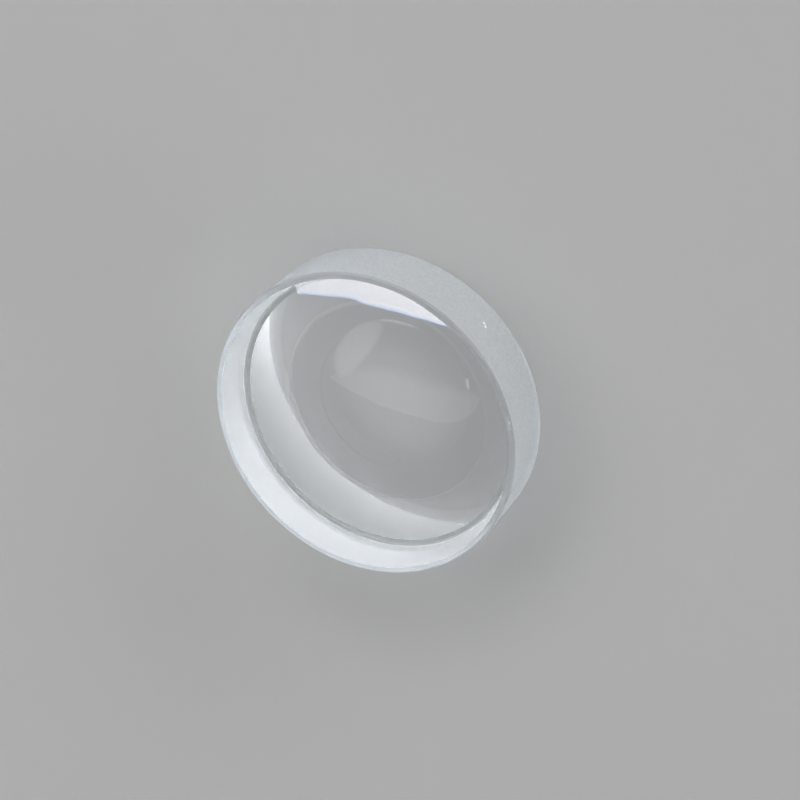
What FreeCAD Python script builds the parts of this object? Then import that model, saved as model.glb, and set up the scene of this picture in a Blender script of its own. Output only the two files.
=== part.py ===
import FreeCAD, Part
import math
import os

# A diverging lens: one round piece of clear crown glass, hollowed on both faces.
# Sizes are in millimetres. The lens lies flat on its back ring with the front face up.
# The optical axis is +Z, and the origin is the centre of the back ring, in its plane.

lens_diameter = 25.4

# Glass left between the two dishes, measured on the optical axis.
centre_thickness = 0.7

# Each face is a polished spherical dish, given by the radius of its curve
# and by the diameter of the circle where it meets the ground flat ring.
front_curve_radius = 32.1
front_dish_diameter = 24.4
back_curve_radius = 32.1
back_dish_diameter = 24.4

# Both outer rims are broken by a narrow ground bevel at 45 degrees.
front_bevel = 0.15
back_bevel = 0.15

os.makedirs("parts", exist_ok=True)

along_axis = FreeCAD.Vector(0, 0, 1)


def dish_depth(curve_radius, dish_diameter):
    """Depth of a spherical dish below the flat ring around it."""
    rim_radius = dish_diameter / 2
    return curve_radius - math.sqrt(curve_radius**2 - rim_radius**2)


front_depth = dish_depth(front_curve_radius, front_dish_diameter)
back_depth = dish_depth(back_curve_radius, back_dish_diameter)
edge_thickness = back_depth + centre_thickness + front_depth


def edged_blank():
    """The round blank after its edge is ground to size, with both rims bevelled."""
    blank = Part.makeCylinder(lens_diameter / 2, edge_thickness)
    rims = [edge for edge in blank.Edges if edge.Closed]
    back_rim = min(rims, key=lambda rim: rim.CenterOfMass.z)
    blank = blank.makeChamfer(back_bevel, [back_rim])
    rims = [edge for edge in blank.Edges if edge.Closed]
    front_rim = max(rims, key=lambda rim: rim.CenterOfMass.z)
    return blank.makeChamfer(front_bevel, [front_rim])


def polishing_ball(curve_radius, lowest_point):
    """The sphere whose surface a dish follows, given by its lowest point on the axis."""
    return Part.makeSphere(curve_radius, along_axis * (lowest_point + curve_radius))


def lens():
    """The blank with a dish worked into each face, which leaves a flat ring round each."""
    front_ball = polishing_ball(front_curve_radius, edge_thickness - front_depth)
    back_ball = polishing_ball(back_curve_radius, back_depth - 2 * back_curve_radius)
    return edged_blank().cut(front_ball).cut(back_ball)


lens_element = lens().Solids[0]
lens_element.exportStep("parts/lens_element.step")

print("edge thickness %.3f mm, dish depths %.3f and %.3f mm" % (edge_thickness, front_depth, back_depth))
print("volume %.1f mm3, valid %s" % (lens_element.Volume, lens_element.isValid()))
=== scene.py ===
import math
import bmesh
import bpy
from mathutils import Matrix, Vector


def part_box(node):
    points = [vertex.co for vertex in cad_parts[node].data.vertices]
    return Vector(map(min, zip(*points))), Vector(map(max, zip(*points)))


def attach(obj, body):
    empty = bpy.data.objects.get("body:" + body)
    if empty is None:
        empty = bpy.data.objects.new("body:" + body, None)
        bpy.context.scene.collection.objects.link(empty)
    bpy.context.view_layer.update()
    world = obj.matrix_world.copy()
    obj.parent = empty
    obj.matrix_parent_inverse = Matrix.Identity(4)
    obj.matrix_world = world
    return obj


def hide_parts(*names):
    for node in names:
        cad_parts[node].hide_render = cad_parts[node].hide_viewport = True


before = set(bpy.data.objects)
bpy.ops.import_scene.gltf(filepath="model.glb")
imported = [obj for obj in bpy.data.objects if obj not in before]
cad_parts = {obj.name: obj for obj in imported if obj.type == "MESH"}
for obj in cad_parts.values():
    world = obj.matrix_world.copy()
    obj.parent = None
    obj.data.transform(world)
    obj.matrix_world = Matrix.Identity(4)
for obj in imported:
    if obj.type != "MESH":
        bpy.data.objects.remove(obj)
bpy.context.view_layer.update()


# The lens: one round piece of clear crown glass. It is turned here from the same section as the CAD solid,
# only finer, because light bends cleanly only through smooth curves. Both dishes are polished, and the edge,
# the flat rings and the bevels are left as the grinding wheel made them.
MM = 0.001
front_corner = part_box("lens_element")[1]
lens_radius = front_corner.x
edge_thickness = front_corner.z
dish_radius = 12.2 * MM
curve_radius = 32.1 * MM
bevel = 0.15 * MM
dish_depth = curve_radius - math.sqrt(curve_radius**2 - dish_radius**2)
steps_round = 400
steps_across_dish = 100


def band(start, end, steps):
    """Evenly spaced points of the section from start to end, without the first."""
    return [start.lerp(end, i / steps) for i in range(1, steps + 1)]


def dish_point(radius):
    """Point of the back dish at this distance from the axis."""
    fall = curve_radius - math.sqrt(curve_radius**2 - radius**2)
    return Vector((radius, 0, dish_depth - fall))


half_section = [dish_point(dish_radius * i / steps_across_dish) for i in range(steps_across_dish + 1)]
half_section += band(half_section[-1], Vector((lens_radius - bevel, 0, 0)), 5)
half_section += band(half_section[-1], Vector((lens_radius, 0, bevel)), 3)
half_section += band(half_section[-1], Vector((lens_radius, 0, edge_thickness / 2)), 9)
section = half_section + [Vector((p.x, 0, edge_thickness - p.z)) for p in reversed(half_section[:-1])]

glass = bmesh.new()
corners = [glass.verts.new(p) for p in section]
edges = [glass.edges.new(pair) for pair in zip(corners, corners[1:])]
bmesh.ops.spin(
    glass, geom=corners + edges, cent=(0, 0, 0), axis=(0, 0, 1),
    angle=2 * math.pi, steps=steps_round, use_merge=True,
)
bmesh.ops.remove_doubles(glass, verts=glass.verts, dist=0.00002 * MM)
bmesh.ops.recalc_face_normals(glass, faces=glass.faces)
POLISHED, EDGE, FRONT_RING, BACK_RING = 0, 1, 2, 3
for face in glass.faces:
    face.smooth = True
    middle = face.calc_center_median()
    faces_outward = abs(face.normal.z) < 0.1
    if math.hypot(middle.x, middle.y) < dish_radius - 0.001 * MM:
        face.material_index = POLISHED
    elif faces_outward:
        face.material_index = EDGE
    elif middle.z > edge_thickness / 2:
        face.material_index = FRONT_RING
    else:
        face.material_index = BACK_RING
lens_mesh = bpy.data.meshes.new("lens_glass")
glass.to_mesh(lens_mesh)
glass.free()
lens_mesh.set_sharp_from_angle(angle=math.radians(15))
lens_glass = bpy.data.objects.new("lens_glass", lens_mesh)
bpy.context.scene.collection.objects.link(lens_glass)

polished = bpy.data.materials.new("polished_crown_glass")
polished.use_nodes = True
shader = polished.node_tree.nodes["Principled BSDF"]
shader.inputs["Base Color"].default_value = (1, 1, 1, 1)
shader.inputs["Transmission Weight"].default_value = 1
shader.inputs["Roughness"].default_value = 0
shader.inputs["IOR"].default_value = 1.517


def ground_glass(name, dull, bright, roughness, clear, chips):
    """Fine ground glass: the wheel's grain as colour and relief, and chipped spots that scatter more light.

    Each chip is its middle and its half sizes along X, Y and Z, in millimetres, and how clear it stays.
    """
    material = bpy.data.materials.new(name)
    material.use_nodes = True
    nodes = material.node_tree.nodes
    links = material.node_tree.links
    surface = nodes["Principled BSDF"]
    surface.inputs["Transmission Weight"].default_value = clear
    surface.inputs["Roughness"].default_value = roughness
    surface.inputs["IOR"].default_value = 1.517
    place = nodes.new("ShaderNodeTexCoord")
    grain = nodes.new("ShaderNodeTexNoise")
    grain.inputs["Scale"].default_value = 4500
    grain.inputs["Detail"].default_value = 4
    grain.inputs["Roughness"].default_value = 0.75
    links.new(place.outputs["Object"], grain.inputs["Vector"])
    shade = nodes.new("ShaderNodeValToRGB")
    shade.color_ramp.elements[0].position = 0.38
    shade.color_ramp.elements[0].color = (*dull, 1)
    shade.color_ramp.elements[1].position = 0.62
    shade.color_ramp.elements[1].color = (*bright, 1)
    links.new(grain.outputs["Fac"], shade.inputs["Fac"])
    links.new(shade.outputs["Color"], surface.inputs["Base Color"])
    relief = nodes.new("ShaderNodeBump")
    relief.inputs["Strength"].default_value = 0.05
    relief.inputs["Distance"].default_value = 0.01 * MM
    links.new(grain.outputs["Fac"], relief.inputs["Height"])
    links.new(relief.outputs["Normal"], surface.inputs["Normal"])
    whole = None
    for middle, half_size, clear_inside in chips:
        reach = nodes.new("ShaderNodeMapping")
        reach.vector_type = "TEXTURE"
        reach.inputs["Location"].default_value = Vector(middle) * MM
        reach.inputs["Scale"].default_value = Vector(half_size) * MM
        links.new(place.outputs["Object"], reach.inputs["Vector"])
        distance = nodes.new("ShaderNodeVectorMath")
        distance.operation = "LENGTH"
        links.new(reach.outputs["Vector"], distance.inputs[0])
        ragged = nodes.new("ShaderNodeMath")
        ragged.operation = "ADD"
        links.new(distance.outputs["Value"], ragged.inputs[0])
        links.new(grain.outputs["Fac"], ragged.inputs[1])
        outside = nodes.new("ShaderNodeMapRange")
        outside.inputs["From Min"].default_value = 1.3
        outside.inputs["From Max"].default_value = 1.6
        outside.inputs["To Min"].default_value = clear_inside
        outside.inputs["To Max"].default_value = clear
        links.new(ragged.outputs["Value"], outside.inputs["Value"])
        if whole is None:
            whole = outside
        else:
            both = nodes.new("ShaderNodeMath")
            both.operation = "MINIMUM"
            links.new(whole.outputs[0], both.inputs[0])
            links.new(outside.outputs[0], both.inputs[1])
            whole = both
    if whole is not None:
        links.new(whole.outputs[0], surface.inputs["Transmission Weight"])
    return material


edge_chips = [
    ((-0.80, -12.67, 2.42), (0.16, 0.1, 0.08), 0.15),
    ((-1.05, -12.66, 2.58), (0.08, 0.1, 0.12), 0.15),
    ((-0.45, -12.70, 2.10), (0.07, 0.1, 0.07), 0.15),
]
ring_chips = [
    ((-7.36, -10.15, 5.52), (0.16, 0.09, 0.1), 0.55),
    ((-7.69, -9.80, 5.52), (0.16, 0.1, 0.1), 0.55),
    ((10.24, -7.24, 5.52), (0.09, 0.07, 0.1), 0.55),
]
edge_glass = ground_glass("ground_edge", (0.76, 0.81, 0.86), (0.94, 0.975, 1.0), 0.85, 0.9, edge_chips)
front_glass = ground_glass("ground_front_ring", (0.8, 0.85, 0.89), (0.88, 0.92, 0.96), 0.5, 1, ring_chips)
# The back ring and its bevel are the same ground glass as the front ring, but their colour is darker overall:
# painted shade on the ring that faces the floor.
back_glass_painted_shade = ground_glass("ground_back_ring_painted_shade", (0.7, 0.75, 0.75), (0.8, 0.85, 0.85), 0.5, 1, [])
for material in (polished, edge_glass, front_glass, back_glass_painted_shade):
    lens_mesh.materials.append(material)
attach(lens_glass, "root")
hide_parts("lens_element")


# The floor: a plain pale grey board, so wide that its edge shows only in low views, as a plain horizon. It
# lies a hair's breadth below the ring that the lens rests on, so that glass and floor don't share a plane.
floor_half = 1.5
floor_top = -0.02 * MM
floor_mesh = bpy.data.meshes.new("floor")
floor_corners = [(x * floor_half, y * floor_half, floor_top) for x, y in ((-1, -1), (1, -1), (1, 1), (-1, 1))]
floor_mesh.from_pydata(floor_corners, [], [(0, 1, 2, 3)])
floor = bpy.data.objects.new("floor", floor_mesh)
bpy.context.scene.collection.objects.link(floor)
floor_paint = bpy.data.materials.new("pale_grey_board")
floor_paint.use_nodes = True
shader = floor_paint.node_tree.nodes["Principled BSDF"]
shader.inputs["Base Color"].default_value = (0.435, 0.435, 0.435, 1)
shader.inputs["Roughness"].default_value = 0.9
shader.inputs["Specular IOR Level"].default_value = 0.2
floor_mesh.materials.append(floor_paint)


# The light: an even pale surround and six soft boxes. Four of them are low and stand well beyond the edge of
# the floor, so that it stays evenly lit.
world = bpy.data.worlds.new("pale_surround")
world.use_nodes = True
world.node_tree.nodes["Background"].inputs["Color"].default_value = (1, 1, 1, 1)
world.node_tree.nodes["Background"].inputs["Strength"].default_value = 0.31
bpy.context.scene.world = world


def toward(azimuth, elevation):
    """Unit vector from the lens at this azimuth and elevation, in degrees. Azimuth 0 is +Y and 90 is +X."""
    a = math.radians(azimuth)
    e = math.radians(elevation)
    return Vector((math.sin(a) * math.cos(e), math.cos(a) * math.cos(e), math.sin(e)))


def soft_box(name, azimuth, elevation, distance, width, height, radiance, even_share):
    """A lamp panel that faces the lens, with sizes in metres.

    It is even up to this share of its half width and fades out beyond that.
    """
    lamp_data = bpy.data.lights.new(name, "AREA")
    lamp_data.shape = "RECTANGLE"
    lamp_data.size = width
    lamp_data.size_y = height
    lamp_data.energy = radiance * math.pi * width * height
    lamp_data.use_nodes = True
    nodes = lamp_data.node_tree.nodes
    links = lamp_data.node_tree.links
    place = nodes.new("ShaderNodeNewGeometry")
    from_middle = nodes.new("ShaderNodeVectorMath")
    from_middle.operation = "DISTANCE"
    from_middle.inputs[1].default_value = (0.5, 0.5, 0)
    fade = nodes.new("ShaderNodeMapRange")
    fade.interpolation_type = "SMOOTHSTEP"
    fade.inputs["From Min"].default_value = 0.5
    fade.inputs["From Max"].default_value = 0.5 * even_share
    links.new(place.outputs["Parametric"], from_middle.inputs[0])
    links.new(from_middle.outputs["Value"], fade.inputs["Value"])
    links.new(fade.outputs["Result"], nodes["Emission"].inputs["Strength"])
    lamp = bpy.data.objects.new(name, lamp_data)
    away = toward(azimuth, elevation)
    facing = away.to_track_quat("Z", "Y").to_matrix().to_4x4()
    lamp.matrix_world = Matrix.Translation(away * distance) @ facing
    lamp.visible_camera = False
    bpy.context.scene.collection.objects.link(lamp)


for name, azimuth, radiance in (("low_left", 245, 9), ("low_middle", 180, 17), ("low_right", 115, 3)):
    soft_box(
        name, azimuth, elevation=7.5, distance=4,
        width=5, height=1.05, radiance=radiance, even_share=0.4,
    )
soft_box(
    "near_right", azimuth=135, elevation=26, distance=4,
    width=3.5, height=1.65, radiance=5.5, even_share=0.4,
)
soft_box(
    "side_box", azimuth=80, elevation=38, distance=0.8,
    width=1.0, height=0.65, radiance=1.8, even_share=0.75,
)
soft_box(
    "top_box", azimuth=-30, elevation=78, distance=0.9,
    width=2.6, height=2.2, radiance=0.54, even_share=0.3,
)


# The glowing white cards that the front dish mirrors. They light nothing and give painted reflections: one
# behind the lens gives the bright crescent, an arched one overhead brightens the foot of the band on the
# left, a leaf-shaped one shows faintly across the middle, and a narrow one gives the fine bright line at the
# right. Only mirrored light sees them.
card_distance = 3
card_white = (0.96, 0.97, 1.05)
# The cards glow by themselves and nothing lights them; their glow exists only as painted reflections in the
# glass.
card_paint = bpy.data.materials.new("glowing_reflection_card")
card_paint.use_nodes = True
card_shader = card_paint.node_tree.nodes["Principled BSDF"]
card_shader.inputs["Base Color"].default_value = (0, 0, 0, 1)
card_shader.inputs["Emission Strength"].default_value = 7.3
card_tone = card_paint.node_tree.nodes.new("ShaderNodeAttribute")
card_tone.attribute_name = "tone"
card_paint.node_tree.links.new(card_tone.outputs["Color"], card_shader.inputs["Emission Color"])
card_paint.cycles.emission_sampling = "NONE"


def dimmed(tone):
    """The white of the cards at this brightness."""
    return tuple(channel * tone for channel in card_white)


def white_card(name, rows):
    """A bent card given by rows of corners. Each corner is its direction from the lens and its tone."""
    across = len(rows[0])
    card_corners = [direction * card_distance for row in rows for direction, tone in row]
    card_faces = []
    for r in range(len(rows) - 1):
        for i in range(across - 1):
            first = r * across + i
            card_faces.append((first, first + 1, first + 1 + across, first + across))
    card_mesh = bpy.data.meshes.new(name)
    card_mesh.from_pydata(card_corners, [], card_faces)
    tones = card_mesh.color_attributes.new("tone", "FLOAT_COLOR", "POINT")
    for i, tone in enumerate(tone for row in rows for direction, tone in row):
        tones.data[i].color = (*tone, 1)
    card_mesh.materials.append(card_paint)
    card = bpy.data.objects.new(name, card_mesh)
    bpy.context.scene.collection.objects.link(card)
    card.visible_camera = False
    card.visible_diffuse = False
    card.visible_transmission = False
    card.visible_shadow = False


# The back card: its upper edge as azimuth and elevation, and its tones by the degrees below that edge.
upper_edge = [
    (-27, 30.9), (-21.5, 29), (-16.3, 26.1), (-13.5, 25.5), (-10, 23.2), (-6, 19.5), (-2.5, 15), (0, 10.5),
]
# The bluish rim is a painted colour fringe on the crescent's edge, standing in for the one that the glass
# splits from white light.
bluish_rim = [
    (0, (0.03, 0.08, 0.2)), (0.35, (0.45, 0.6, 1)), (0.9, (0.84, 0.93, 1.15)),
    (1.6, card_white), (10, card_white),
]
rows = []
for below, tone in bluish_rim:
    rows.append([(toward(azimuth, elevation - below), tone) for azimuth, elevation in upper_edge])
white_card("back_card", rows)

# The overhead card: five arches, each a half ellipse in the view from above. Each has its half width and its
# depth as shares of the sky's radius, and a tone. All share the tones along the arch, given every 30 degrees.
arch_middle = 0.5
arches = [(0.54, 0.64, 0), (0.53, 0.6, 0.9), (0.5, 0.5, 1), (0.485, 0.47, 1.05), (0.475, 0.44, 0)]
arch_tones = [0, 0.23, 0.67, 0.8, 0.71, 0.53, 0]


def tone_along(degrees):
    """How bright the overhead card is at this angle along its arches, which run from -90 to 90."""
    place = (degrees + 90) / 30
    before = min(int(place), len(arch_tones) - 2)
    return arch_tones[before] + (arch_tones[before + 1] - arch_tones[before]) * (place - before)


rows = []
for half_width, depth, tone_across in arches:
    row = []
    for degrees in range(-90, 91, 5):
        turn = math.radians(degrees)
        x = half_width * math.sin(turn)
        y = arch_middle - depth * math.cos(turn)
        direction = Vector((x, y, math.sqrt(1 - x**2 - y**2)))
        row.append((direction, dimmed(tone_across * tone_along(degrees))))
    rows.append(row)
white_card("overhead_card", rows)

# The leaf card: its near and far edge, as azimuth and elevation, from its left tip to its right tip. It fades
# toward the near edge.
leaf_tone = 0.13
leaf_edges = [
    ((-18.5, 52), (-18.5, 52.5)), ((-14, 47), (-12, 53)), ((-9.5, 42), (-1, 50.5)), ((-4.5, 38), (6, 45.5)),
    ((2, 32), (11, 38.5)), ((6, 25), (12, 32)), ((8, 21.5), (11, 26)), ((9, 21), (9.5, 22.5)),
]
rows = []
for share, tone_across in ((0, 0.2), (0.3, 1), (0.9, 1), (1, 1.2)):
    row = []
    for near, far in leaf_edges:
        direction = toward(*near).lerp(toward(*far), share).normalized()
        row.append((direction, dimmed(leaf_tone * tone_across)))
    rows.append(row)
white_card("leaf_card", rows)

# The narrow card: a slanting strip, brightest along its middle and faded at its ends.
strip_start = Vector((5.75, 21.4))
strip_end = Vector((7.45, 23.5))
strip_side = Vector((-0.2, 0.7))
strip_tone = 0.46
rows = []
for line in (-1, 0, 1):
    row = []
    for share in (-0.15, 0, 1, 1.15):
        on_strip = line == 0 and 0 <= share <= 1
        azimuth, elevation = strip_start.lerp(strip_end, share) + strip_side * line
        row.append((toward(azimuth, elevation), dimmed(strip_tone if on_strip else 0)))
    rows.append(row)
white_card("narrow_card", rows)


# The camera. The lens lies flat here, so the camera looks down on it along the line of sight that the
# photograph has to the front face, and is rolled so that the outline stands in the picture as it does there.
camera_place = Vector((0, -86.74, 121.57)) * MM
aim_point = Vector((-0.583, -2.545, 2.759)) * MM
camera_roll = math.radians(-134.31)
camera_data = bpy.data.cameras.new("camera")
camera_data.lens = 84.78
camera_data.sensor_width = 36
camera_data.clip_start = 0.01
camera_data.clip_end = 20
camera = bpy.data.objects.new("camera", camera_data)
line_of_sight = (aim_point - camera_place).to_track_quat("-Z", "Y").to_matrix().to_4x4()
camera.matrix_world = Matrix.Translation(camera_place) @ line_of_sight @ Matrix.Rotation(camera_roll, 4, "Z")
bpy.context.scene.collection.objects.link(camera)
bpy.context.scene.camera = camera

# How the light is followed. It crosses and mirrors in the glass many times before it leaves the lens, so long
# paths are allowed, and with this pattern of samples the mirrored cards show no fine weave of dots.
scene = bpy.context.scene
scene.view_settings.view_transform = "Standard"
scene.cycles.max_bounces = 32
scene.cycles.transmission_bounces = 32
scene.cycles.glossy_bounces = 24
scene.cycles.blur_glossy = 0
scene.cycles.sampling_pattern = "TABULATED_SOBOL"
